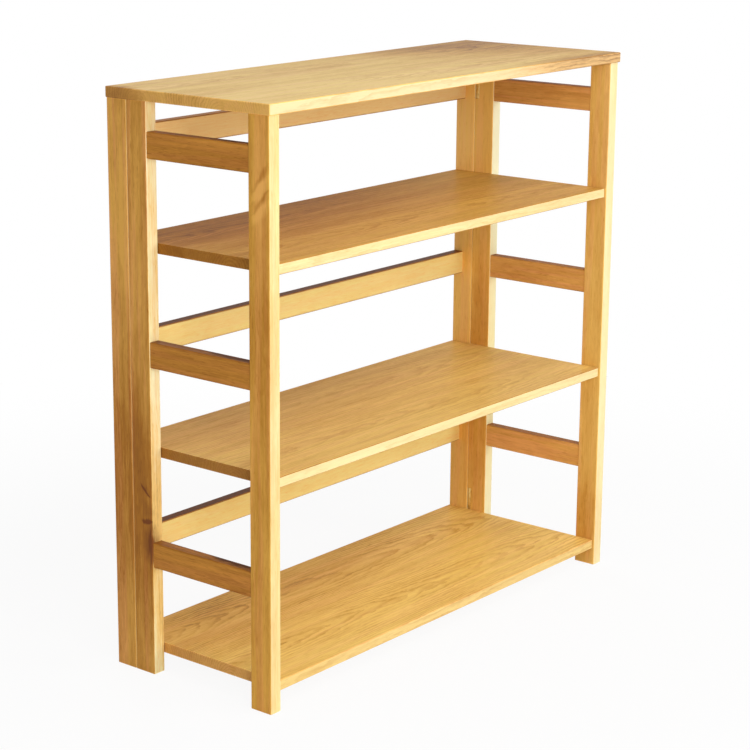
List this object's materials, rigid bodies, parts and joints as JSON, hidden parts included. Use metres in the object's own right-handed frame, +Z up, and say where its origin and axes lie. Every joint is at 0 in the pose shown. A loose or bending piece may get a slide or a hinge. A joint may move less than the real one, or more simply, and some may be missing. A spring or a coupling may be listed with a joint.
{
  "type": "folding bookcase",
  "caption": "Folding wooden bookcase: a back frame with two hinged ladder sides, shelves that swing up on pivot pins and a lift-off top panel.",
  "frame": {"origin": "on the floor, under the middle of the top panel", "axes": "+X to the right of someone facing the bookcase, +Y to its back, +Z up"},
  "size_m": [0.854, 0.308, 0.864],
  "materials": {
    "frame_wood": "clear satin lacquer, grain along the piece",
    "board_wood": "clear satin lacquer, grain from side to side",
    "dowel_wood": "plain turned hardwood",
    "hinge_brass": "lightly worn, satin",
    "screw_steel": "yellow zinc plated",
    "pin_steel": "bright zinc plated"
  },
  "bodies": {
    "back_frame": {"left_back_post": "frame_wood", "right_back_post": "frame_wood", "back_rail_lower": "frame_wood", "back_rail_middle": "frame_wood", "back_rail_top": "frame_wood", "shelf_pivot_pins": "pin_steel", "back_top_dowels": "dowel_wood", "left_lower_hinge_back_leaf": "hinge_brass", "left_lower_hinge_pin": "hinge_brass", "left_upper_hinge_back_leaf": "hinge_brass", "left_upper_hinge_pin": "hinge_brass", "left_back_leaf_screws": "screw_steel", "right_lower_hinge_back_leaf": "hinge_brass", "right_lower_hinge_pin": "hinge_brass", "right_upper_hinge_back_leaf": "hinge_brass", "right_upper_hinge_pin": "hinge_brass", "right_back_leaf_screws": "screw_steel"},
    "left_side_frame": {"left_rear_post": "frame_wood", "left_front_post": "frame_wood", "left_rail_lower": "frame_wood", "left_rail_middle": "frame_wood", "left_rail_top": "frame_wood", "left_lower_hinge_side_leaf": "hinge_brass", "left_upper_hinge_side_leaf": "hinge_brass", "left_side_leaf_screws": "screw_steel", "left_shelf_rest_pegs": "dowel_wood", "left_top_dowel": "dowel_wood"},
    "right_side_frame": {"right_rear_post": "frame_wood", "right_front_post": "frame_wood", "right_rail_lower": "frame_wood", "right_rail_middle": "frame_wood", "right_rail_top": "frame_wood", "right_lower_hinge_side_leaf": "hinge_brass", "right_upper_hinge_side_leaf": "hinge_brass", "right_side_leaf_screws": "screw_steel", "right_shelf_rest_pegs": "dowel_wood", "right_top_dowel": "dowel_wood"},
    "bottom_shelf": {"bottom_shelf": "board_wood"},
    "middle_shelf": {"middle_shelf": "board_wood"},
    "upper_shelf": {"upper_shelf": "board_wood"},
    "top_panel": {"top_panel": "board_wood"}
  },
  "joints": [
    {"name": "bottom_shelf_flip", "type": "hinge", "parent": "back_frame", "child": "bottom_shelf", "pos_m": [0, 0.12562, 0.03575], "axis": [-1, 0, 0], "range_deg": [0, 90.5]},
    {"name": "middle_shelf_flip", "type": "hinge", "parent": "back_frame", "child": "middle_shelf", "pos_m": [0, 0.12562, 0.33675], "axis": [-1, 0, 0], "range_deg": [0, 90.5]},
    {"name": "upper_shelf_flip", "type": "hinge", "parent": "back_frame", "child": "upper_shelf", "pos_m": [0, 0.12562, 0.63775], "axis": [-1, 0, 0], "range_deg": [0, 48]},
    {"name": "top_panel_lift", "type": "slide", "parent": "back_frame", "child": "top_panel", "axis": [0, 0, 1], "range_m": [0, 0.1]},
    {"name": "left_side_frame_fold", "type": "hinge", "parent": "back_frame", "child": "left_side_frame", "pos_m": [-0.4061, 0.109, 0.432], "axis": [0, 0, 1], "range_deg": [0, 0.1]},
    {"name": "right_side_frame_fold", "type": "hinge", "parent": "back_frame", "child": "right_side_frame", "pos_m": [0.4061, 0.109, 0.432], "axis": [0, 0, -1], "range_deg": [0, 0.1]}
  ]
}
